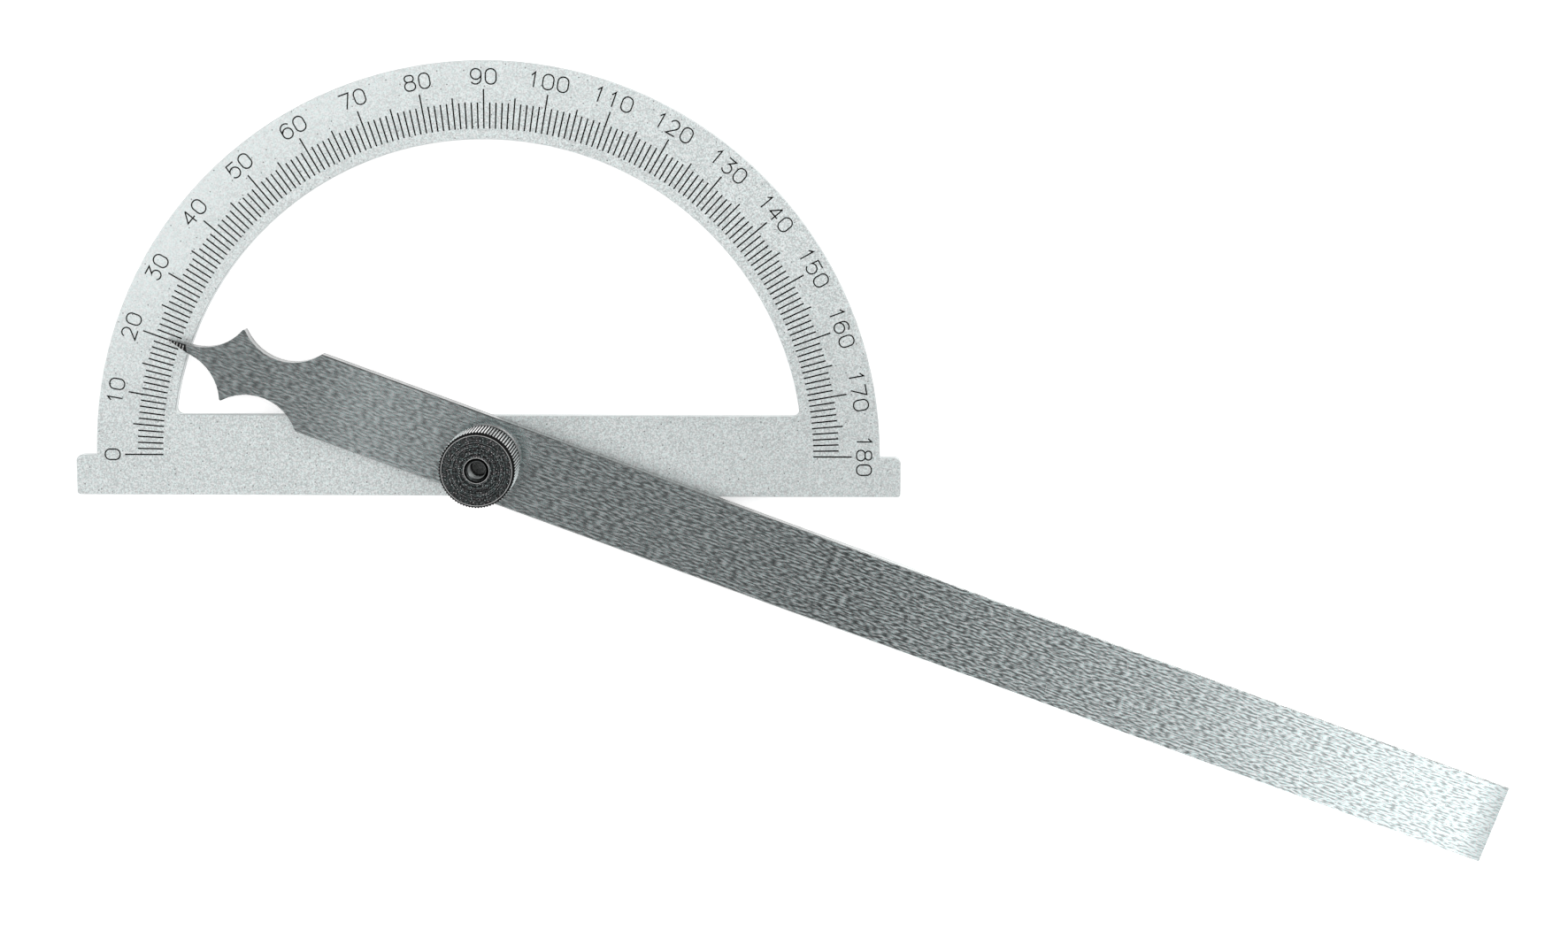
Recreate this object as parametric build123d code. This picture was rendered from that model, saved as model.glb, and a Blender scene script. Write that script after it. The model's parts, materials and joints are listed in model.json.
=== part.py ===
"""Bevel protractor with an open 180 degree arc, a swinging arm and a knurled clamp nut.

Frame: millimetres. The origin is on the pivot axis, in the underside of the scale plate.
+X runs along the base towards the 180 mark, +Y runs up to the 90 mark, +Z points from the
underside to the graduated side. The arm is drawn where its pointer reads REST_READING.
"""
from build123d import *
from math import asin, atan2, cos, floor, hypot, pi, sin, sqrt
import os

# ---- scale plate -------------------------------------------------------------------
PLATE_THICKNESS = 2.0
ARC_OUTER_RADIUS = 75.0
ARC_INNER_RADIUS = 60.2
BASE_HALF_LENGTH = 79.0
BASE_HALF_WIDTH = 7.8
SHOULDER_Y = -0.1               # top edge of the two ends that stand out beyond the arc
SHOULDER_CORNER_RADIUS = 1.2
BASE_CORNER_RADIUS = 0.6
WINDOW_CORNER_RADIUS = 1.1
ARC_FOOT_RADIUS = 0.3           # inner corner where the arc meets its shoulder
PLATE_EDGE_BREAK = 0.15         # small chamfer all round both faces

# ---- graduations and numerals -----------------------------------------------------
TICK_INNER_RADIUS = 62.2
TICK_OUTER_1 = 67.1             # every degree
TICK_OUTER_5 = 68.1             # every fifth degree
TICK_OUTER_10 = 69.6            # every tenth degree
TICK_WIDTH = 0.28
DIGIT_BASE_RADIUS = 70.52       # centre line of the strokes at the foot of the numerals
DIGIT_HEIGHT = 2.86             # centre line to centre line
DIGIT_STROKE = 0.26
DIGIT_PITCH = 2.82              # centre to centre of neighbouring digits
ENGRAVE_DEPTH = 0.12
FILL_RECESS = 0.03              # the black filling lies this much below the face

# ---- arm ---------------------------------------------------------------------------
REST_READING = 20.1             # degrees shown by the pointer
ARM_THICKNESS = 3.0
ARM_WIDTH = 15.7
ARM_REACH = 206.8               # pivot to the square end
TIP_REACH = 64.8                # pivot to the point of the pointer
TIP_FLAT = 0.12                 # width left at the very point
THROAT_CENTRE = (-60.75, 10.95) # concave curve between the point and the ear
THROAT_RADIUS = 10.2
EAR = (-51.25, 7.45)
WAIST = (-43.6, 3.9)            # deepest point of the concave curve behind the ear
SHOULDER = -35.8                # where the full width begins
EAR_CORNER_RADIUS = 0.3
RIDGE_START = (-60.6, 0.45)     # the pointer is ground to a roof; its ridge starts here, in the top face
RIDGE_END = (-64.8, 0.05)       # and falls to here, at the very point
RIDGE_END_THICKNESS = 0.35      # thickness left under the end of the ridge
ROOF_FALL = {1: 0.7, -1: 0.35}  # sideways fall of the roof per mm, on the +Y and on the -Y side
ARM_EDGE_BREAK = 0.2

# ---- pivot screw --------------------------------------------------------------------
PIVOT_DIAMETER = 6.0            # plain shoulder that the arm turns on
PIVOT_CLEARANCE = 0.04          # radial, between shoulder and arm
SHOULDER_SHORTFALL = 0.10       # the shoulder ends this far below the arm's top
HEAD_DIAMETER = 9.6             # countersunk head, flush with the underside
HEAD_LAND = 0.2                 # straight rim of the head
KEY_WIDTH = 1.4                 # nib under the head that stops the screw turning
KEY_REACH = 5.8
KEY_HEIGHT = 0.8
THREAD_PITCH = 0.7              # M4
THREAD_CREST_RADIUS = 1.95
THREAD_ROOT_RADIUS = 1.53
THREAD_CLEARANCE = 0.08         # on the flanks, crest and root, between screw and nut
CREST_WIDTH = 0.08
ROOT_WIDTH = 0.50
RIDGE_OVERLAP = 0.04            # the thread's ridge reaches this far into the core
SCREW_END_RECESS = 5.5          # the screw stops this far below the nut's top
END_CHAMFER = 0.5

# ---- washer and clamp nut -----------------------------------------------------------
WASHER_THICKNESS = 1.2
WASHER_DIAMETER = 13.2
WASHER_BORE = 4.3
WASHER_EDGE_BREAK = 0.25
NUT_HEIGHT = 15.6
COLLAR_HEIGHT = 4.9             # plain collar under the knurled head
COLLAR_DIAMETER = 11.0
KNURL_TIP_DIAMETER = 14.2
KNURL_DEPTH = 0.27
KNURL_COUNT = 78
KNURL_LAND = 0.4                # unknurled strip at the foot of the head
NUT_TOP_CHAMFER = 0.44
NUT_BOTTOM_CHAMFER = 0.15
NUT_MOUTH_DIAMETER = 4.6        # countersink of the threaded hole

ARM_BOTTOM = PLATE_THICKNESS
ARM_TOP = ARM_BOTTOM + ARM_THICKNESS
WASHER_TOP = ARM_TOP + WASHER_THICKNESS
NUT_TOP = WASHER_TOP + NUT_HEIGHT
SCREW_TOP = NUT_TOP - SCREW_END_RECESS


# ---- scale plate --------------------------------------------------------------------
def plate_outline():
    """Half ring standing on the base strip, as one flat face."""
    ring = Circle(ARC_OUTER_RADIUS) - Circle(ARC_INNER_RADIUS)
    upper_half = Pos(0, ARC_OUTER_RADIUS / 2) * Rectangle(2 * ARC_OUTER_RADIUS + 2, ARC_OUTER_RADIUS)
    strip = Rectangle(2 * BASE_HALF_LENGTH, 2 * BASE_HALF_WIDTH)
    above_shoulders = Pos(0, SHOULDER_Y + BASE_HALF_WIDTH) * strip
    base = strip - (above_shoulders - Circle(ARC_OUTER_RADIUS))
    return (ring & upper_half) + base


def corner_radius(vertex):
    """Fillet radius of one corner of the plate, chosen by where the corner is."""
    if abs(vertex.X) < ARC_INNER_RADIUS + 1:
        return WINDOW_CORNER_RADIUS
    if abs(vertex.X) < ARC_OUTER_RADIUS + 1:
        return ARC_FOOT_RADIUS
    if vertex.Y > -1:
        return SHOULDER_CORNER_RADIUS
    return BASE_CORNER_RADIUS


def plate_blank():
    outline = plate_outline()
    for radius in (WINDOW_CORNER_RADIUS, ARC_FOOT_RADIUS, SHOULDER_CORNER_RADIUS, BASE_CORNER_RADIUS):
        corners = [v for v in outline.vertices() if is_sharp(v) and corner_radius(v) == radius]
        outline = fillet(corners, radius)
    blank = extrude(outline, PLATE_THICKNESS)
    faces = blank.faces().sort_by(Axis.Z)
    return chamfer(faces[0].edges() + faces[-1].edges(), PLATE_EDGE_BREAK)


def is_sharp(vertex):
    """True for the real corners, false for points where a circle is merely split."""
    on_axis = abs(vertex.X) < 1
    on_window_corner = abs(vertex.Y - BASE_HALF_WIDTH) < 0.01
    on_shoulder = abs(vertex.Y - SHOULDER_Y) < 0.01
    on_bottom_corner = abs(vertex.Y + BASE_HALF_WIDTH) < 0.01
    return not on_axis and (on_window_corner or on_shoulder or on_bottom_corner)


# ---- graduations --------------------------------------------------------------------
def tick_outer_radius(mark):
    if mark % 10 == 0:
        return TICK_OUTER_10
    if mark % 5 == 0:
        return TICK_OUTER_5
    return TICK_OUTER_1


def graduation_lines(bottom, top):
    """One thin block per degree, standing radially between the two heights."""
    blocks = []
    for mark in range(181):
        length = tick_outer_radius(mark) - TICK_INNER_RADIUS
        place = Rot(0, 0, 180 - mark) * Pos(TICK_INNER_RADIUS + length / 2, 0, (bottom + top) / 2)
        blocks.append(place * Box(length, TICK_WIDTH, top - bottom))
    return blocks


# ---- numerals -----------------------------------------------------------------------
# Each digit stands on y = 0 around x = 0. Its numbers are the pen's path in millimetres.
def loop(width, height, radius, centre_y):
    """Closed rounded loop, drawn as a stroke, centred on x = 0."""
    outer = RectangleRounded(width + DIGIT_STROKE, height + DIGIT_STROKE, radius + DIGIT_STROKE / 2)
    inner = RectangleRounded(width - DIGIT_STROKE, height - DIGIT_STROKE, radius - DIGIT_STROKE / 2)
    return Pos(0, centre_y) * (outer - inner)


def stroke(*edges):
    """The pen's path along joined edges, as a flat shape."""
    return trace([*edges], DIGIT_STROKE)


def arc(centre, radius, start, end):
    """Circular arc from one angle to another, either way round."""
    return CenterArc(centre, radius, start, end - start)


def digit_zero():
    return loop(2.02, DIGIT_HEIGHT, 0.96, DIGIT_HEIGHT / 2)


def digit_one():
    return stroke(Polyline((-0.45, DIGIT_HEIGHT - 0.68), (0.18, DIGIT_HEIGHT), (0.18, 0)))


def digit_two():
    head = arc((0, 1.98), 0.88, 165, -48)
    return stroke(head, Line(head @ 1, (-0.92, 0)), Line((-0.92, 0), (0.92, 0)))


def digit_three():
    bowl = arc((0.05, 0.9), 0.9, 105, -152)
    return stroke(Polyline((-0.82, DIGIT_HEIGHT), (0.86, DIGIT_HEIGHT), bowl @ 0), bowl)


def digit_four():
    slope = stroke(Polyline((0.4, DIGIT_HEIGHT), (-1.0, 0.95), (1.0, 0.95)))
    return slope + stroke(Line((0.4, DIGIT_HEIGHT), (0.4, 0)))


def digit_five():
    bowl = arc((0, 1.0), 1.0, 148, -148)
    return stroke(Polyline((0.92, DIGIT_HEIGHT), (-0.72, DIGIT_HEIGHT), bowl @ 0), bowl)


def digit_six():
    top = arc((0.05, 1.83), 1.03, 184, 38)
    return loop(1.96, 1.96, 0.94, 0.98) + stroke(Line((-0.98, 0.98), top @ 0), top)


def digit_seven():
    return stroke(Polyline((-1.02, DIGIT_HEIGHT), (1.0, DIGIT_HEIGHT), (-0.22, 0)))


def digit_eight():
    lower_height = 1.64
    upper_height = DIGIT_HEIGHT - lower_height
    upper = loop(1.70, upper_height, 0.59, lower_height + upper_height / 2)
    return upper + loop(2.02, lower_height, 0.80, lower_height / 2)


def digit_nine():
    return Pos(0, DIGIT_HEIGHT) * Rot(0, 0, 180) * digit_six()


DIGITS = {"0": digit_zero, "1": digit_one, "2": digit_two, "3": digit_three, "4": digit_four,
          "5": digit_five, "6": digit_six, "7": digit_seven, "8": digit_eight, "9": digit_nine}


def label_faces(text):
    """The digits of one label, side by side, centred on x = 0 and standing on y = 0."""
    shapes = [Pos(place * DIGIT_PITCH, 0) * DIGITS[letter]() for place, letter in enumerate(text)]
    left = min(shape.bounding_box().min.X for shape in shapes)
    right = max(shape.bounding_box().max.X for shape in shapes)
    return [Pos(-(left + right) / 2, 0) * shape for shape in shapes]


def numerals(bottom, top):
    """All labels from 0 to 180, tops outwards, as solids between the two heights."""
    solids = []
    for mark in range(0, 181, 10):
        turn = Rot(0, 0, 90 - mark)
        place = turn * Pos(0, DIGIT_BASE_RADIUS, bottom)
        for face in label_faces(str(mark)):
            solids.append(place * extrude(face, top - bottom))
    return solids


def solids_of(shapes):
    return [solid for shape in shapes for solid in shape.solids()]


# ---- arm ----------------------------------------------------------------------------
def pointer_side():
    """Edges of the pointer on the +Y side, from the point to the full width."""
    centre_x, centre_y = THROAT_CENTRE
    tip_x, tip_y = -TIP_REACH, TIP_FLAT / 2
    to_centre = hypot(centre_x - tip_x, centre_y - tip_y)
    tangent_angle = atan2(centre_y - tip_y, centre_x - tip_x) - asin(THROAT_RADIUS / to_centre)
    tangent_length = sqrt(to_centre ** 2 - THROAT_RADIUS ** 2)
    start_x = tip_x + tangent_length * cos(tangent_angle)
    start_y = tip_y + tangent_length * sin(tangent_angle)
    start_angle = atan2(start_y - centre_y, start_x - centre_x)
    end_angle = atan2(EAR[1] - centre_y, EAR[0] - centre_x)
    middle = (start_angle + end_angle) / 2
    throat_middle = (centre_x + THROAT_RADIUS * cos(middle), centre_y + THROAT_RADIUS * sin(middle))
    full_width = (SHOULDER, ARM_WIDTH / 2)
    return [Line((tip_x, tip_y), (start_x, start_y)),
            ThreePointArc((start_x, start_y), throat_middle, EAR),
            ThreePointArc(EAR, WAIST, full_width), Line(full_width, (ARM_REACH, ARM_WIDTH / 2))]


def arm_shape():
    """The arm along X, pointer towards -X, standing on z = 0."""
    upper = pointer_side()
    lower = [mirror(edge, Plane.XZ) for edge in upper]
    point = Line((-TIP_REACH, -TIP_FLAT / 2), (-TIP_REACH, TIP_FLAT / 2))
    square_end = Line((ARM_REACH, -ARM_WIDTH / 2), (ARM_REACH, ARM_WIDTH / 2))
    edges = [edge for curve in (*upper, *lower, point, square_end) for edge in curve.edges()]
    outline = Sketch() + make_face(Wire.combine(edges))
    ears = [v for v in outline.vertices() if abs(v.X - EAR[0]) < EAR_CORNER_RADIUS]
    outline = fillet(ears, EAR_CORNER_RADIUS)
    body = extrude(outline, ARM_THICKNESS)
    top_edges = body.faces().sort_by(Axis.Z)[-1].edges()
    body = chamfer([edge for edge in top_edges if edge.center().X > 0], ARM_EDGE_BREAK)
    for side, fall in ROOF_FALL.items():
        body = body - above_roof(side, fall)
    return body - Cylinder(PIVOT_DIAMETER / 2 + PIVOT_CLEARANCE, 4 * ARM_THICKNESS)


def above_roof(side, fall):
    """Everything above one of the two planes of the pointer's roof."""
    ridge = Vector(*RIDGE_START, ARM_THICKNESS) - Vector(*RIDGE_END, RIDGE_END_THICKNESS)
    sideways = Vector(0, side, -fall)
    normal = ridge.cross(sideways) * side
    plane = Plane(origin=(*RIDGE_START, ARM_THICKNESS), x_dir=ridge, z_dir=normal)
    size = 6 * ARM_THICKNESS
    return plane * Pos(0, 0, size / 2) * Box(size, size, size)


# ---- pivot screw --------------------------------------------------------------------
def head_profile():
    """Half section of the countersunk head, in the XZ plane."""
    top = HEAD_LAND + (HEAD_DIAMETER - PIVOT_DIAMETER) / 2
    return [(0, 0), (HEAD_DIAMETER / 2, 0), (HEAD_DIAMETER / 2, HEAD_LAND), (PIVOT_DIAMETER / 2, top)]


def turned(points):
    """Solid of revolution about Z from a half section given as (radius, height) points."""
    return revolve(make_face(Plane.XZ * Polyline(*points, close=True)), Axis.Z)


def key_nib():
    length = KEY_REACH - PIVOT_DIAMETER / 2
    return Pos(-PIVOT_DIAMETER / 2 - length / 2, 0, KEY_HEIGHT / 2) * Box(length, KEY_WIDTH, KEY_HEIGHT)


def threaded_rod(grow, bottom, top):
    """Right-hand M5 thread about Z, larger than the screw's by grow on every side.

    Every ridge starts at a whole number of pitches above z = 0, so rods of any length match.
    """
    root_radius = THREAD_ROOT_RADIUS + grow
    crest_radius = THREAD_CREST_RADIUS + grow
    start = THREAD_PITCH * floor(bottom / THREAD_PITCH)
    path = Pos(0, 0, start) * Helix(THREAD_PITCH, top - start, root_radius)
    half_root = ROOT_WIDTH / 2 + grow
    half_crest = CREST_WIDTH / 2 + grow
    buried = root_radius - RIDGE_OVERLAP
    section = Polyline((buried, -half_root), (crest_radius, -half_crest),
                       (crest_radius, half_crest), (buried, half_root), close=True)
    ridge = sweep(Pos(0, 0, start) * make_face(Plane.XZ * section), path=path, is_frenet=True)
    core_bottom = start - 2 * THREAD_PITCH
    core_top = top + 2 * THREAD_PITCH
    core = Pos(0, 0, (core_bottom + core_top) / 2) * Cylinder(root_radius, core_top - core_bottom)
    return core + ridge


def pivot_screw():
    shoulder_top = ARM_TOP - SHOULDER_SHORTFALL
    head_and_shoulder = turned(head_profile() + [(PIVOT_DIAMETER / 2, shoulder_top), (0, shoulder_top)])
    margin = 1.0
    outside = THREAD_CREST_RADIUS + margin
    chamfer_foot = SCREW_TOP - margin - END_CHAMFER
    blunt_end = turned([(0, shoulder_top), (outside, shoulder_top), (outside, chamfer_foot),
                        (THREAD_CREST_RADIUS - END_CHAMFER, SCREW_TOP), (0, SCREW_TOP)])
    thread = threaded_rod(0, shoulder_top, SCREW_TOP) & blunt_end
    return head_and_shoulder + thread + key_nib()


def screw_seat():
    """The countersunk hole with its key slot, as a solid to cut from the plate."""
    above = PLATE_THICKNESS + 1
    return turned(head_profile() + [(PIVOT_DIAMETER / 2, above), (0, above)]) + key_nib()


# ---- washer and nut -----------------------------------------------------------------
def washer():
    disc = Pos(0, 0, WASHER_THICKNESS / 2) * Cylinder(WASHER_DIAMETER / 2, WASHER_THICKNESS)
    rims = disc.edges().filter_by(GeomType.CIRCLE)
    disc = chamfer(rims, WASHER_EDGE_BREAK)
    return Pos(0, 0, ARM_TOP) * (disc - Cylinder(WASHER_BORE / 2, 4 * WASHER_THICKNESS))


def knurl_outline():
    """Star with one straight tooth per knurl ridge."""
    tip = KNURL_TIP_DIAMETER / 2
    points = []
    for tooth in range(KNURL_COUNT):
        for radius, half_step in ((tip, 0), (tip - KNURL_DEPTH, 1)):
            angle = 2 * pi * (tooth + half_step / 2) / KNURL_COUNT
            points.append((radius * cos(angle), radius * sin(angle)))
    return make_face(Polyline(*points, close=True))


def nut_hole():
    """Solids that cut the nut's threaded hole and its countersunk mouths."""
    mouth = NUT_MOUTH_DIAMETER / 2
    upper_mouth = turned([(0, NUT_TOP + 1), (mouth + 1, NUT_TOP + 1), (0, NUT_TOP - mouth)])
    lower_mouth = turned([(0, WASHER_TOP - 1), (mouth + 1, WASHER_TOP - 1), (0, WASHER_TOP + mouth)])
    return [threaded_rod(THREAD_CLEARANCE, WASHER_TOP - THREAD_PITCH, NUT_TOP + THREAD_PITCH),
            upper_mouth, lower_mouth]


def clamp_nut():
    tip = KNURL_TIP_DIAMETER / 2
    collar = COLLAR_DIAMETER / 2
    head_foot = WASHER_TOP + COLLAR_HEIGHT
    turned_body = turned([(0, WASHER_TOP), (collar, WASHER_TOP), (collar, head_foot),
                          (tip - NUT_BOTTOM_CHAMFER, head_foot), (tip, head_foot + NUT_BOTTOM_CHAMFER),
                          (tip, NUT_TOP - NUT_TOP_CHAMFER), (tip - NUT_TOP_CHAMFER, NUT_TOP), (0, NUT_TOP)])
    land_top = head_foot + KNURL_LAND
    knurled_part = Pos(0, 0, land_top) * extrude(knurl_outline(), NUT_TOP - land_top)
    plain_part = Pos(0, 0, (WASHER_TOP + land_top) / 2) * Cylinder(tip + 1, land_top - WASHER_TOP)
    body = turned_body & (knurled_part + plain_part)
    for cutter in nut_hole():
        body = body - cutter
    return body


def main():
    os.makedirs("parts", exist_ok=True)
    face = PLATE_THICKNESS
    groove = face - ENGRAVE_DEPTH
    plate = plate_blank() - screw_seat()
    plate = plate - graduation_lines(groove, face + 1) - solids_of(numerals(groove, face + 1))
    at_rest = Pos(0, 0, ARM_BOTTOM) * Rot(0, 0, -REST_READING)
    nodes = {
        "scale_plate": plate,
        "graduation_fill": Compound(children=graduation_lines(groove, face - FILL_RECESS)),
        "numeral_fill": Compound(children=solids_of(numerals(groove, face - FILL_RECESS))),
        "arm": at_rest * arm_shape(),
        "pivot_screw": pivot_screw(),
        "washer": washer(),
        "clamp_nut": clamp_nut(),
    }
    for name, shape in nodes.items():
        export_step(shape, f"parts/{name}.step")
        box = shape.bounding_box()
        print(name, len(shape.solids()), round(shape.volume, 2), box.size)


main()
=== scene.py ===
"""Looks of the bevel protractor: satin chromed scale plate, brushed arm, polished knurled nut."""
import json
import math

import bpy
from mathutils import Matrix, Vector


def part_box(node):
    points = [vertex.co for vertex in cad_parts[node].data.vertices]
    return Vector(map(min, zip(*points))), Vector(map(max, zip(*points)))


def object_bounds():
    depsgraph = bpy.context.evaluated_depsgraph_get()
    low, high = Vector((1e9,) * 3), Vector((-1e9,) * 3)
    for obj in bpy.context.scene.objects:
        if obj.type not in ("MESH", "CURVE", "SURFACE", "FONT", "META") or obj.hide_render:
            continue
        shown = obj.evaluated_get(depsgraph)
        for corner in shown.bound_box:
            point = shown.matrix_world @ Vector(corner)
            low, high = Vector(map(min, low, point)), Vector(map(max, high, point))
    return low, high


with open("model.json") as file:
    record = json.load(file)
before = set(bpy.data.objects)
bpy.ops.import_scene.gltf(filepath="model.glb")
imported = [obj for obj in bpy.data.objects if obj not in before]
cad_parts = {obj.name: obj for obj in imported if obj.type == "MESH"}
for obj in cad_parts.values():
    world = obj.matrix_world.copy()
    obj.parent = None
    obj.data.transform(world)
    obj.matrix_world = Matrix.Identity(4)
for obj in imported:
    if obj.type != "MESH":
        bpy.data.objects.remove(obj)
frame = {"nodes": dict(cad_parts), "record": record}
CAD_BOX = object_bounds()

MM = 0.001


def arm_turn():
    """Angle from +X down to the arm's long end, from the direction its lower edge faces."""
    mount = next(m for m in frame["record"]["mounts"] if m["name"] == "arm_edge")
    return math.atan2(-mount["axis"][0], -mount["axis"][1])


# ---- places on the object, in metres from the pivot axis and the table ---------------
ARM_TURN = arm_turn()
PLATE_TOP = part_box("scale_plate")[1].z
ARM_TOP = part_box("arm")[1].z
NUT_LOW, NUT_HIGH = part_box("clamp_nut")
NUT_TOP = NUT_HIGH.z
NUT_RADIUS = NUT_HIGH.x

NUT_FACE_RADIUS = NUT_RADIUS - 0.44 * MM
NUT_MOUTH_RADIUS = 2.3 * MM
NUT_THREAD_RADIUS = 1.62 * MM
NUT_COLLAR_RADIUS = 6.0 * MM
KNURL_DEPTH = 0.27 * MM
KNURL_FOOT = NUT_LOW.z + 5.3 * MM
KNURL_HEAD = NUT_TOP - 0.9 * MM

# Along the arm: where the roof filed on the pointer's point starts, and the far end.
POINTER_ROOF_START = -60.6 * MM
ARM_REACH = 206.8 * MM

# ---- where painted light and shade change; each pair runs from no effect to full effect - ---
PLATE_LEFT = (60 * MM, -60 * MM)          # X
PLATE_UPPER = (5 * MM, 35 * MM)           # Y
PLATE_LOWER = (40 * MM, 10 * MM)          # Y
ARC_RIM_HIGHLIGHT = (64 * MM, 73 * MM)              # radius
NUT_SHADOW = (10 * MM, 7 * MM)            # radius

# The same along the arm.
ARM_FAR = (130 * MM, 185 * MM)
ARM_POINTER = (-15 * MM, -62 * MM)
ARM_END = (ARM_REACH - 5 * MM, ARM_REACH)
WALL_FOOT = (50 * MM, 90 * MM)
WALL_BROW = (60 * MM, 100 * MM)
WALL_POINT = (-54 * MM, -57 * MM)

# Zones along the arm where painted light and shade are laid: centre and half width.
NEAR_HALF = (-25 * MM, 95 * MM)
MIDDLE = (110 * MM, 80 * MM)
AROUND_NUT = (14 * MM, 60 * MM)
LEFT_OF_NUT = (-17 * MM, 17 * MM)

# Pitch of the lines on the arm.
BRUSHING_PITCH = 0.66 * MM
FILE_MARK_PITCH = 0.67 * MM

# Z of a surface normal, from where a face stops being a wall to where it counts as level.
LEVEL = (0.90, 0.99)

# ---- studio --------------------------------------------------------------------------
STUDIO_STRENGTH = 1.48
FLOOR_SIZE = 80.0
FLOOR_GAP = 0.2 * MM
FLOOR_GLOW = 0.62

# The dark patch overhead, on the plane one unit above the object, along and across the arm.
# Its levels are pairs of a distance from the middle of the patch and the sky's brightness there.
# Directions lower than LOWEST_RISE are placed as if they rose by that much.
PATCH_AHEAD = -0.01
PATCH_ACROSS = -0.17
PATCH_STRETCH = 2.2
PATCH_LEVELS = ((0.0, 0.02), (0.06, 0.03), (0.11, 0.115), (0.16, 0.205),
                (0.22, 0.42), (0.27, 0.85), (0.30, 1.0))
LOWEST_RISE = 0.05

# The sky brightens with the square of a direction's Z, and is full where that reaches HORIZON_END.
HORIZON_LEVEL = 0.10
HORIZON_END = 0.86

# The camera, in metres like the object, and its lens in millimetres.
CAMERA_PLACE = Vector((0.06156, 0.07911, PLATE_TOP + 0.55253))
CAMERA_AIM = Vector((0.05665, -0.00225, PLATE_TOP))
CAMERA_UP = Vector((-0.0025, 1.0, 0.0))
CAMERA_LENS_MM = 67.04
CAMERA_SENSOR_MM = 36.0

# ---- tints ---------------------------------------------------------------------------
COOL = (0.955, 1.0, 0.995)
TEAL = (0.80, 1.0, 1.0)
WARM = (1.0, 0.92, 0.94)
NEUTRAL = (1.0, 1.0, 1.0)


def grey(level, tint=COOL):
    return (level * tint[0], level * tint[1], level * tint[2], 1.0)


# ---- small helpers for shader nodes --------------------------------------------------
class Nodes:
    """Short calls that add nodes to a node tree."""

    def __init__(self, tree):
        self.tree = tree

    def node(self, kind, settings=None, inputs=None):
        made = self.tree.nodes.new(kind)
        for name, value in (settings or {}).items():
            setattr(made, name, value)
        for name, value in (inputs or {}).items():
            self.put(made.inputs[name], value)
        return made

    def put(self, socket, value):
        if isinstance(value, bpy.types.NodeSocket):
            self.tree.links.new(value, socket)
        else:
            socket.default_value = value

    def split(self, vector):
        return self.node("ShaderNodeSeparateXYZ", {}, {"Vector": vector}).outputs

    def turned(self, vector, angle):
        """The vector turned about Z."""
        return self.node("ShaderNodeVectorRotate", {"rotation_type": "Z_AXIS"},
                         {"Vector": vector, "Angle": angle}).outputs["Vector"]

    def length(self, vector):
        return self.node("ShaderNodeVectorMath", {"operation": "LENGTH"}, {0: vector}).outputs["Value"]

    def math(self, operation, first, second=0.0):
        return self.node("ShaderNodeMath", {"operation": operation}, {0: first, 1: second}).outputs[0]

    def times(self, *factors):
        product = factors[0]
        for factor in factors[1:]:
            product = self.math("MULTIPLY", product, factor)
        return product

    def remap(self, value, low, high, to_low=0.0, to_high=1.0):
        return self.node("ShaderNodeMapRange", {"clamp": True}, {
            "Value": value, "From Min": low, "From Max": high,
            "To Min": to_low, "To Max": to_high}).outputs["Result"]

    def band(self, value, centre, half_width):
        """1 out to 0.4 of half_width from the centre, falling to 0 at half_width."""
        off = self.math("ABSOLUTE", self.math("SUBTRACT", value, centre))
        return self.remap(off, half_width, half_width * 0.4)

    def mix(self, factor, first, second, blend="MIX"):
        made = self.node("ShaderNodeMix", {"data_type": "RGBA", "blend_type": blend},
                         {"Factor": factor, 6: first, 7: second})
        return made.outputs[2]

    def lay(self, base, mask, colour, strength):
        """The base with a colour laid over it where the mask is."""
        return self.mix(self.times(mask, strength), base, colour)


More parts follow.
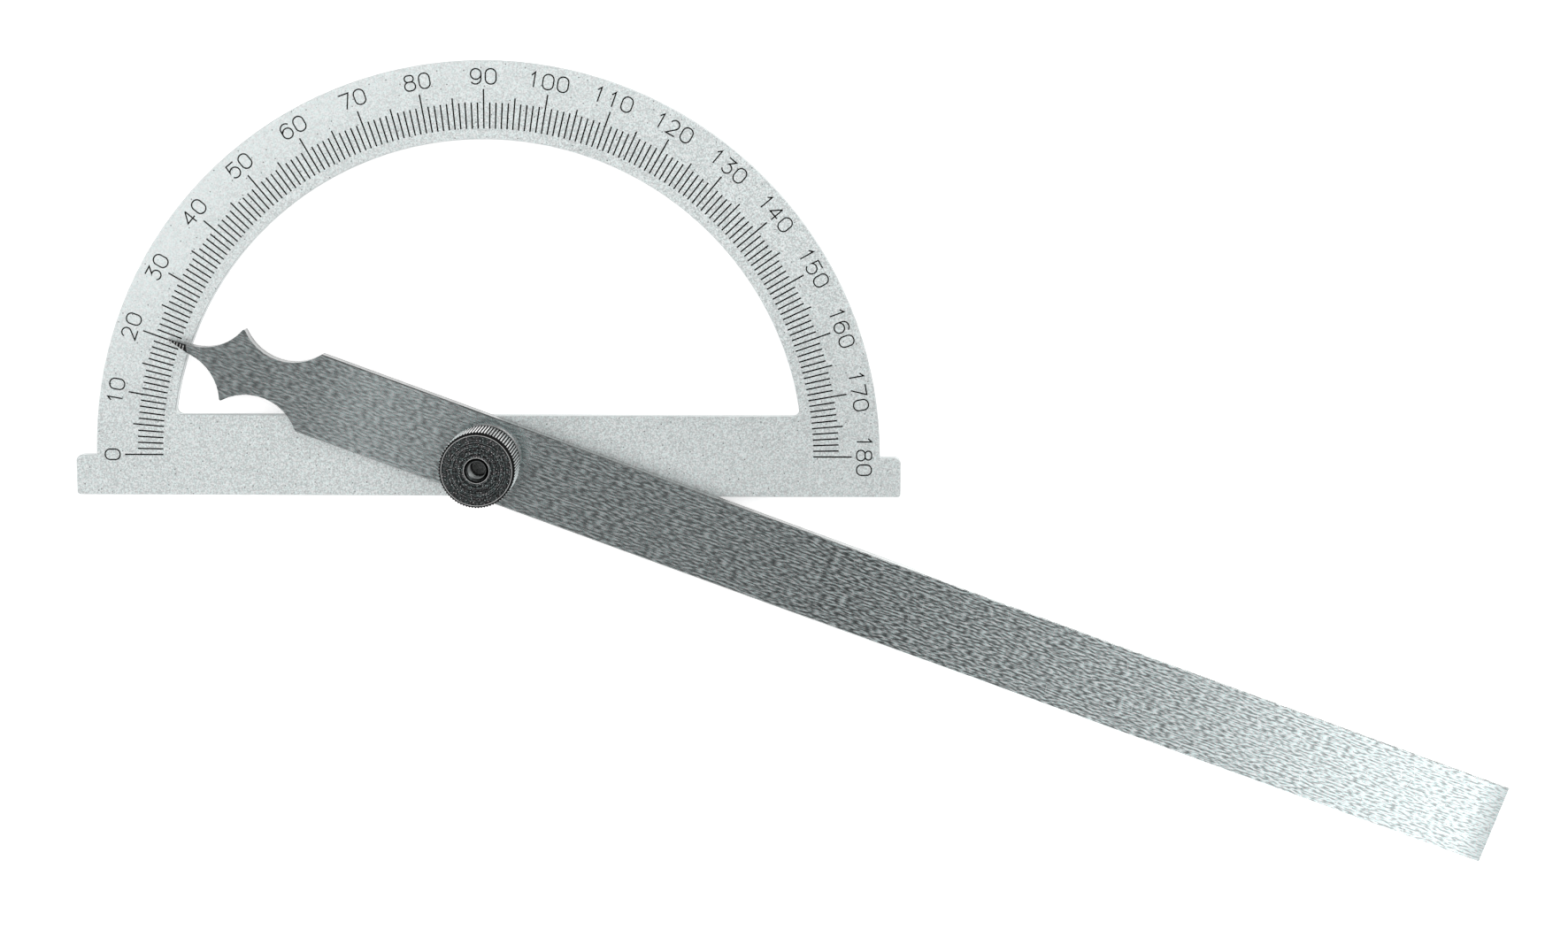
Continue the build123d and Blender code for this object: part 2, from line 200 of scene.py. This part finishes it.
class Shader(Nodes):
    """A new material with coordinates, textures and marks in metres."""

    def __init__(self, name):
        self.material = bpy.data.materials.new(name)
        self.material.use_nodes = True
        super().__init__(self.material.node_tree)
        self.surface = self.tree.nodes["Principled BSDF"]
        place = self.node("ShaderNodeTexCoord")
        self.object_coords = place.outputs["Object"]
        self.normal = place.outputs["Normal"]
        self.normal_z = self.split(self.normal)["Z"]

    def set(self, **values):
        for name, value in values.items():
            self.put(self.surface.inputs[name.replace("_", " ")], value)

    def coords(self, turn=0.0, stretch=(1.0, 1.0, 1.0), shift=(0.0, 0.0, 0.0)):
        """Object coordinates in metres, turned about Z, then stretched along each axis."""
        turned = self.turned(self.object_coords, turn)
        return self.node("ShaderNodeMapping", {}, {"Vector": turned, "Scale": stretch,
                                                   "Location": shift}).outputs["Vector"]

    def level(self):
        """1 on faces that look straight up, 0 on walls and steep slopes."""
        return self.remap(self.normal_z, *LEVEL)

    def radius(self):
        """Distance from the pivot axis."""
        flat = self.node("ShaderNodeVectorMath", {"operation": "MULTIPLY"},
                         {0: self.object_coords, 1: (1, 1, 0)}).outputs[0]
        return self.length(flat)

    def noise(self, vector, scale=1.0, detail=2.0, roughness=0.5):
        return self.node("ShaderNodeTexNoise", {}, {"Vector": vector, "Scale": scale, "Detail": detail,
                                                    "Roughness": roughness}).outputs["Fac"]

    def streaks(self, turn, per_metre, detail=1.0, shift=(0.0, 0.0, 0.0)):
        """Noise with its own number of features per metre along each turned axis."""
        return self.noise(self.coords(turn, per_metre, shift), detail=detail)

    def waves(self, place, pitch, wander, reach):
        """Sine waves along a coordinate, pushed aside by the wander noise times reach."""
        phase = self.math("ADD", self.times(place, math.tau / pitch), self.times(wander, reach))
        return self.math("SINE", phase)

    def marks(self, turn, cell, size, presence, shift=0.0):
        """Scattered small ellipses, one for each stretched cell that holds one.

        cell is the length and width of a cell in metres, size the ellipse's half size in cells.
        """
        place = self.coords(turn, (1 / cell[0], 1 / cell[1], 0.0), (shift, shift * 1.7, 0.0))
        cells = self.node("ShaderNodeTexVoronoi", {"voronoi_dimensions": "2D"},
                          {"Vector": place, "Scale": 1.0})
        kept = self.math("LESS_THAN", self.split(cells.outputs["Color"])["X"], presence)
        return self.times(self.remap(cells.outputs["Distance"], size, size * 0.5), kept)

    def wall(self, low, high, dark, light):
        """Tone of an upright edge, painted as light and shade: dark at its foot as painted contact shadow,
        light near its top as painted highlight.
        """
        height = self.split(self.object_coords)["Z"]
        return self.mix(self.remap(height, low, high), dark, light)

    def tinted(self, colour, scale, strength):
        """The colour with fine teal and warm mottling."""
        mottle = self.noise(self.object_coords, scale, detail=1.0)
        tint = self.mix(self.remap(mottle, 0.38, 0.62), grey(1.0, TEAL), grey(1.0, WARM))
        return self.mix(strength, colour, tint, "MULTIPLY")

    def bump(self, height, distance, strength=1.0):
        return self.node("ShaderNodeBump", {}, {"Height": height, "Distance": distance,
                                                "Strength": strength}).outputs["Normal"]


# ---- plate ---------------------------------------------------------------------------
def plate_painted_light_and_shade(s, base):
    """Slow changes of tone painted on the plate as light and shade: painted light at the upper left, stronger
    near the outer arc, and painted shade at the lower right.
    """
    place = s.split(s.object_coords)
    left = s.remap(place["X"], *PLATE_LEFT)
    upper_left_light = s.times(left, s.remap(place["Y"], *PLATE_UPPER))
    lower_right_shade = s.times(s.remap(left, 0.7, 0.0), s.remap(place["Y"], *PLATE_LOWER))
    rim_highlight = s.remap(s.radius(), *ARC_RIM_HIGHLIGHT)
    # Painted light: paler at the upper left, and paler still near the outer arc there.
    base = s.lay(base, upper_left_light, grey(1.0), strength=0.24)
    base = s.lay(base, s.times(upper_left_light, rim_highlight), grey(1.0), strength=0.55)
    # Painted shade: darker at the lower right.
    return s.lay(base, lower_right_shade, grey(0.30), strength=0.16)


def satin_chrome():
    """Bead-blasted and chromed steel: fine even grain, faint clouds, small dark pits, pale scuffs, and
    painted light and shade.
    """
    s = Shader("satin_chrome")
    grain = s.noise(s.object_coords, scale=3700.0, detail=1.0, roughness=0.6)
    clouds = s.noise(s.object_coords, scale=45.0, detail=3.0)
    pits = s.marks(0.3, cell=(2.6 * MM, 2.6 * MM), size=0.060, presence=0.55)
    specks = s.marks(0.9, cell=(1.1 * MM, 1.1 * MM), size=0.10, presence=0.30, shift=4.0)
    scuffs = s.marks(0.7, cell=(9.0 * MM, 1.2 * MM), size=0.10, presence=0.12, shift=7.0)
    base = s.mix(s.remap(grain, 0.36, 0.64), grey(0.64), grey(0.98))
    base = s.lay(base, s.remap(clouds, 0.35, 0.7), grey(0.92), strength=0.10)
    base = plate_painted_light_and_shade(s, base)
    base = s.lay(base, specks, grey(0.25), strength=0.45)
    base = s.lay(base, pits, grey(0.10), strength=0.85)
    base = s.lay(base, scuffs, grey(1.0), strength=0.22)
    base = s.tinted(base, scale=1500.0, strength=0.20)
    # The plate's edge: painted contact shadow at its foot, painted highlight near its top.
    wall = s.wall(0.2 * PLATE_TOP, 0.95 * PLATE_TOP, grey(0.50), grey(0.85))
    s.set(Base_Color=s.mix(s.level(), wall, base), Metallic=1.0)
    s.set(Roughness=s.remap(grain, 0.3, 0.7, 0.42, 0.56))
    relief = s.math("SUBTRACT", grain, s.times(pits, 1.5))
    s.set(Normal=s.bump(relief, distance=0.03 * MM, strength=0.35))
    return s.material


# ---- arm -----------------------------------------------------------------------------
def brushing(s, across):
    """Lengthwise lines that drift and fade, broken up by short speckle."""
    drift = s.streaks(ARM_TURN, per_metre=(45.0, 260.0, 0.0))
    fade = s.remap(s.streaks(ARM_TURN, per_metre=(130.0, 900.0, 0.0)), 0.42, 0.62)
    lines = s.waves(across, BRUSHING_PITCH, wander=drift, reach=26.0)
    lines = s.math("ADD", s.times(lines, fade, 0.5), 0.5)
    speckle = s.streaks(ARM_TURN, per_metre=(800.0, 3300.0, 0.0), detail=0.0)
    return s.math("ADD", s.times(lines, 0.24), s.times(speckle, 0.76))


def arm_marks(s, base):
    """Bright and dark dashes, pits, and long scratches at a few angles."""
    bright = s.marks(ARM_TURN, cell=(4.0 * MM, 0.65 * MM), size=0.13, presence=0.35, shift=2.0)
    dark = s.marks(ARM_TURN, cell=(3.2 * MM, 0.70 * MM), size=0.13, presence=0.35, shift=9.0)
    pits = s.marks(ARM_TURN, cell=(1.3 * MM, 1.3 * MM), size=0.09, presence=0.35, shift=5.0)
    base = s.lay(base, bright, grey(1.0, NEUTRAL), strength=0.65)
    base = s.lay(base, dark, grey(0.14), strength=0.42)
    base = s.lay(base, pits, grey(0.10), strength=0.6)
    for index, angle in enumerate((1.15, 1.40, 1.95, -0.35)):
        scratch = s.marks(ARM_TURN + angle, cell=(12.0 * MM, 0.9 * MM), size=0.11, presence=0.09,
                          shift=3.0 + 5.0 * index)
        base = s.lay(base, scratch, grey(1.0, NEUTRAL), strength=0.8)
    return base


def arm_painted_light_and_shade(s, along, base):
    """Slow changes of tone painted along the arm as light and shade: painted shade on the pointer, in the
    middle and at the end, painted light on both sides of the nut, painted shadow close round the nut, and a
    faint random tone.
    """
    tone = s.streaks(ARM_TURN, per_metre=(26.0, 9.0, 9.0), shift=(2.0, 0.0, 0.0))
    base = s.lay(base, s.remap(along, *ARM_POINTER), grey(0.16), strength=0.55)
    base = s.lay(base, s.remap(tone, 0.35, 0.65), grey(0.40), strength=0.10)
    base = s.lay(base, s.band(along, *MIDDLE), grey(0.15), strength=0.10)
    base = s.lay(base, s.remap(along, *ARM_END), grey(0.30), strength=0.55)
    base = s.lay(base, s.band(along, *AROUND_NUT), grey(1.0), strength=0.52)
    base = s.lay(base, s.band(along, *LEFT_OF_NUT), grey(1.0), strength=0.85)
    return s.lay(base, s.remap(s.radius(), *NUT_SHADOW), grey(0.14), strength=0.30)


def filed_point(s, along):
    """Coarse file marks on the near slope of the pointer's roof; the far slope gets painted shade."""
    wander = s.streaks(ARM_TURN, per_metre=(900.0, 300.0, 0.0))
    file_marks = s.waves(along, FILE_MARK_PITCH, wander, reach=5.0)
    filed = s.mix(s.remap(file_marks, 0.0, 0.4), grey(0.02), grey(1.0, NEUTRAL))
    far_slope_shade = s.node("ShaderNodeVectorMath", {"operation": "DOT_PRODUCT"},
                      {0: s.normal, 1: across_the_arm()}).outputs["Value"]
    # Painted shade on the slope that faces away from the light.
    return s.mix(s.remap(far_slope_shade, -0.05, 0.05), filed, grey(0.02))


def arm_wall_light_and_shade(s, along):
    """Painted light and shade on the arm's upright edges: painted contact shadow at the foot where the arm
    lies over the plate, paler towards the far end, painted shade round the pointer's point.
    """
    # Painted contact shadow at the foot, fading out towards the far end.
    foot = s.mix(s.remap(along, *WALL_FOOT), grey(0.10), grey(0.60))
    brow = s.mix(s.remap(along, *WALL_BROW), grey(0.30), grey(0.95))
    wall = s.wall(PLATE_TOP + 0.3 * MM, ARM_TOP - 1.2 * MM, foot, brow)
    # Painted shade on the edges round the pointer's point.
    return s.mix(s.remap(along, *WALL_POINT), wall, grey(0.08))


def across_the_arm():
    return (math.sin(ARM_TURN), math.cos(ARM_TURN), 0.0)


def brushed_steel():
    """Flat ground steel: lengthwise lines, bright and dark dashes, pits, scratches, a filed point, and
    painted light and shade along the arm.
    """
    s = Shader("brushed_steel")
    place = s.split(s.coords(ARM_TURN))
    along = place["X"]
    texture = brushing(s, place["Y"])
    bands = s.streaks(ARM_TURN, per_metre=(20.0, 900.0, 15.0))
    # Painted light: the brushed steel grows paler towards the far end.
    far = s.remap(along, *ARM_FAR)
    valley = s.mix(far, grey(0.30), grey(0.44))
    peak = s.remap(far, 0.0, 1.0, 0.63, 0.555)
    base = s.mix(s.remap(texture, 0.37, peak), valley, grey(1.0))
    # Painted light over the near half of the arm.
    base = s.lay(base, s.band(along, *NEAR_HALF), grey(0.72), strength=0.50)
    base = s.lay(base, s.remap(bands, 0.35, 0.65), grey(0.60), strength=0.08)
    base = arm_marks(s, base)
    base = arm_painted_light_and_shade(s, along, base)
    base = s.tinted(base, scale=3000.0, strength=0.80)
    on_roof = s.math("LESS_THAN", along, POINTER_ROOF_START)
    edge = s.mix(on_roof, arm_wall_light_and_shade(s, along), filed_point(s, along))
    s.set(Base_Color=s.mix(s.level(), edge, base), Metallic=1.0, Anisotropic=0.5)
    s.set(Roughness=s.remap(texture, 0.35, 0.65, 0.18, 0.28))
    s.set(Normal=s.bump(texture, distance=0.08 * MM, strength=0.4))
    to_world = {"vector_type": "VECTOR", "convert_from": "OBJECT", "convert_to": "WORLD"}
    tangent = s.node("ShaderNodeVectorTransform", to_world, {"Vector": across_the_arm()})
    s.set(Tangent=tangent.outputs["Vector"])
    return s.material


# ---- nut, washer and screw -----------------------------------------------------------
def turning_rings(s):
    """Fine lathe rings about the pivot axis, mixed with grain.

    Height adds to the radius, so that walls get rings as well as faces.
    """
    place = s.math("ADD", s.radius(), s.times(s.split(s.object_coords)["Z"], 1.37))
    rings = s.node("ShaderNodeTexNoise", {"noise_dimensions": "1D"},
                   {"W": s.times(place, 4200.0), "Scale": 1.0, "Detail": 2.0}).outputs["Fac"]
    grain = s.noise(s.object_coords, scale=3300.0, detail=2.0, roughness=0.7)
    return s.math("ADD", s.times(rings, 0.45), s.times(grain, 0.55))


def turned_steel(name, dark, light, roughness):
    """Lathe-turned steel with small nicks, and a painted highlight on its slanted broken edges."""
    s = Shader(name)
    turning = turning_rings(s)
    nicks = s.marks(0.4, cell=(1.6 * MM, 1.6 * MM), size=0.09, presence=0.4)
    slanted = s.band(s.normal_z, 0.7, 0.25)
    base = s.mix(s.remap(turning, 0.38, 0.62), grey(dark), grey(light))
    base = s.lay(base, nicks, grey(0.12), strength=0.6)
    # Painted highlight on the slanted faces.
    base = s.lay(base, slanted, grey(0.60, NEUTRAL), strength=0.8)
    s.set(Base_Color=base, Metallic=1.0)
    s.set(Roughness=s.remap(turning, 0.3, 0.7, roughness, roughness + 0.12))
    s.set(Normal=s.bump(turning, distance=0.02 * MM, strength=0.3))
    return s.material


def nut_face(s, turning, specks):
    """Dark polished top face, speckled and nicked."""
    nicks = s.marks(-0.5, cell=(6.0 * MM, 0.8 * MM), size=0.11, presence=0.10, shift=3.0)
    face = s.mix(s.remap(turning, 0.42, 0.64), grey(0.04), grey(0.68))
    face = s.lay(face, specks, grey(1.0, WARM), strength=0.5)
    face = s.lay(face, nicks, grey(1.0, NEUTRAL), strength=0.7)
    return s.tinted(face, scale=1600.0, strength=0.8)


def knurl_crest(s, radius):
    """1 on the worn crests of the knurl, which carry a painted highlight; 0 in its grooves, painted dark as
    shade, and on the chamfers.
    """
    height = s.split(s.object_coords)["Z"]
    return s.times(s.remap(radius, NUT_RADIUS - 0.60 * KNURL_DEPTH, NUT_RADIUS - 0.30 * KNURL_DEPTH),
                   s.remap(height, KNURL_FOOT, KNURL_FOOT + 0.3 * MM),
                   s.remap(height, KNURL_HEAD, KNURL_HEAD - 0.4 * MM))


def nut_rims(s, radius, top):
    """1 on the worn rims of the top face, round its edge and round the mouth of the hole, which also carry a
    painted highlight.
    """
    outer = s.band(radius, NUT_FACE_RADIUS - 0.10 * MM, 0.10 * MM)
    inner = s.band(radius, NUT_MOUTH_RADIUS + 0.08 * MM, 0.09 * MM)
    return s.times(s.math("MAXIMUM", outer, inner), top)


def nut_steel():
    """Polished turned steel: speckled top face, bright worn edges round the face and hole with a painted
    highlight, dark chamfer, knurl crests with a painted highlight, painted shade in the knurl's grooves and
    in the hole.

    The knurl's grooves and the chamfer aren't metallic, so that they stay dark at grazing angles.
    """
    s = Shader("nut_steel")
    radius = s.radius()
    turning = turning_rings(s)
    specks = s.marks(0.2, cell=(0.5 * MM, 0.5 * MM), size=0.20, presence=0.45)
    top = s.level()
    rims = nut_rims(s, radius, top)
    crest = knurl_crest(s, radius)
    head = s.times(s.math("GREATER_THAN", radius, NUT_COLLAR_RADIUS), s.remap(s.normal_z, -0.6, -0.4))
    collar = s.mix(s.remap(turning, 0.38, 0.62), grey(0.40), grey(0.80))
    # Painted highlight on the knurl's crests, painted shade in its grooves.
    knurl = s.mix(crest, grey(0.012), grey(0.98, NEUTRAL))
    # Painted shade inside the hole, a little lighter on the thread's crests.
    into_thread = s.remap(radius, NUT_THREAD_RADIUS, NUT_THREAD_RADIUS + 0.12 * MM)
    bore_shade = s.mix(into_thread, grey(0.22), grey(0.01))
    side = s.mix(head, collar, knurl)
    side = s.mix(s.math("LESS_THAN", radius, NUT_MOUTH_RADIUS), side, bore_shade)
    base = s.mix(top, side, nut_face(s, turning, specks))
    # Worn rims, brightened further as a painted highlight.
    base = s.mix(rims, base, grey(0.50, NEUTRAL))
    rough = s.remap(turning, 0.3, 0.7, 0.08, 0.26)
    rough = s.math("MAXIMUM", rough, s.times(specks, 0.45))
    rough = s.math("MAXIMUM", rough, s.times(rims, 0.55))
    # Non-metallic grooves and chamfers keep their painted shade dark.
    dull = s.times(head, s.math("SUBTRACT", 1.0, crest), s.math("SUBTRACT", 1.0, top))
    s.set(Base_Color=base, Metallic=s.math("SUBTRACT", 1.0, dull))
    s.set(Roughness=rough, Specular_IOR_Level=0.0)
    s.set(Normal=s.bump(turning, distance=0.02 * MM, strength=0.5))
    return s.material


# ---- engraving and floor -------------------------------------------------------------
def black_filling():
    """Matt black lacquer in the engraving, a little worn and dusty."""
    s = Shader("black_filling")
    wear = s.noise(s.object_coords, scale=2600.0, detail=3.0)
    lacquer = (0.006, 0.005, 0.005, 1.0)
    dust = (0.03, 0.025, 0.025, 1.0)
    s.set(Base_Color=s.mix(s.remap(wear, 0.50, 0.75), lacquer, dust))
    s.set(Roughness=0.7, Specular_IOR_Level=0.0)
    s.set(Normal=s.bump(wear, distance=0.02 * MM, strength=0.4))
    return s.material


def floor_paint():
    """White table lit from inside, as a light box is, and clear when looked at from below."""
    s = Shader("floor_paint")
    tone = s.noise(s.object_coords, scale=3.0, detail=3.0)
    paint = s.mix(tone, grey(0.90, NEUTRAL), grey(0.93, NEUTRAL))
    s.set(Base_Color=paint, Roughness=0.9, Specular_IOR_Level=0.0)
    s.set(Emission_Color=paint, Emission_Strength=FLOOR_GLOW)
    clear = s.node("ShaderNodeBsdfTransparent")
    from_below = s.node("ShaderNodeNewGeometry").outputs["Backfacing"]
    one_way = s.node("ShaderNodeMixShader", {}, {0: from_below, 1: s.surface.outputs[0], 2: clear.outputs[0]})
    s.put(s.tree.nodes["Material Output"].inputs["Surface"], one_way.outputs[0])
    return s.material


def dress(node, material):
    """Gives a CAD node its material."""
    slots = frame["nodes"][node].data.materials
    slots.clear()
    slots.append(material)


# ---- stage ---------------------------------------------------------------------------
def add_floor():
    bpy.ops.mesh.primitive_plane_add(size=FLOOR_SIZE, location=(0, 0, CAD_BOX[0][2] - FLOOR_GAP))
    floor = bpy.context.object
    floor.name = "floor"
    floor.data.materials.append(floor_paint())


def patch_level(sky, way):
    """Brightness of the sky with its dark patch, for a direction turned to the arm."""
    rise = sky.math("MAXIMUM", way["Z"], LOWEST_RISE)
    ahead = sky.math("SUBTRACT", sky.math("DIVIDE", way["X"], rise), PATCH_AHEAD)
    across = sky.math("SUBTRACT", sky.math("DIVIDE", way["Y"], rise), PATCH_ACROSS)
    across = sky.math("DIVIDE", across, PATCH_STRETCH)
    place = sky.node("ShaderNodeCombineXYZ", {}, {"X": ahead, "Y": across}).outputs[0]
    ramp = sky.node("ShaderNodeValToRGB", {}, {"Fac": sky.length(place)})
    stops = ramp.color_ramp.elements
    while len(stops) < len(PATCH_LEVELS):
        stops.new(1.0)
    for stop, (distance, level) in zip(stops, PATCH_LEVELS):
        stop.position = distance
        stop.color = grey(level, NEUTRAL)
    return ramp.outputs["Color"]


def add_world():
    """White studio, dimmer at the horizon, with a dark patch overhead that the metal mirrors."""
    world = bpy.data.worlds.new("studio")
    bpy.context.scene.world = world
    world.use_nodes = True
    sky = Nodes(world.node_tree)
    direction = sky.node("ShaderNodeTexCoord").outputs["Generated"]
    way = sky.split(sky.turned(direction, ARM_TURN))
    steepness = sky.math("POWER", sky.math("ABSOLUTE", way["Z"]), 2.0)
    horizon = sky.remap(steepness, 0.0, HORIZON_END, HORIZON_LEVEL, 1.0)
    light = sky.node("ShaderNodeVectorMath", {"operation": "SCALE"},
                     {0: patch_level(sky, way), "Scale": horizon}).outputs[0]
    background = world.node_tree.nodes["Background"]
    sky.put(background.inputs["Color"], light)
    sky.put(background.inputs["Strength"], STUDIO_STRENGTH)


def add_softbox(name, place, aim, size, power):
    light = bpy.data.lights.new(name, "AREA")
    light.shape = "RECTANGLE"
    light.size, light.size_y = size
    light.energy = power
    holder = bpy.data.objects.new(name, light)
    bpy.context.collection.objects.link(holder)
    holder.location = place
    holder.rotation_euler = (Vector(aim) - Vector(place)).to_track_quat("-Z", "Y").to_euler()


def add_camera():
    """Nearly straight above the object, with the top of the picture towards +Y."""
    forward = (CAMERA_AIM - CAMERA_PLACE).normalized()
    right = forward.cross(CAMERA_UP).normalized()
    up = right.cross(forward)
    camera = bpy.data.cameras.new("camera")
    camera.lens = CAMERA_LENS_MM
    camera.sensor_width = CAMERA_SENSOR_MM
    camera.clip_start = 10 * MM
    holder = bpy.data.objects.new("camera", camera)
    bpy.context.collection.objects.link(holder)
    turn = Matrix((right, up, -forward)).transposed().to_4x4()
    holder.matrix_world = Matrix.Translation(CAMERA_PLACE) @ turn
    bpy.context.scene.camera = holder


filling = black_filling()
dress("scale_plate", satin_chrome())
dress("graduation_fill", filling)
dress("numeral_fill", filling)
dress("arm", brushed_steel())
# The screw's dark tone is painted shade, as its end lies deep in the nut's hole.
dress("pivot_screw", turned_steel("screw_steel_painted_shade", dark=0.10, light=0.35, roughness=0.28))
# The washer's dark tone is painted shade under the nut's head.
dress("washer", turned_steel("washer_steel_painted_shade", dark=0.18, light=0.42, roughness=0.22))
dress("clamp_nut", nut_steel())
add_floor()
add_world()
add_softbox("key", place=(0.6, 0.7, 0.6), aim=(0.0, 0.0, 0.0), size=(0.7, 0.7), power=3.0)
add_camera()
bpy.context.scene.view_settings.view_transform = "Standard"
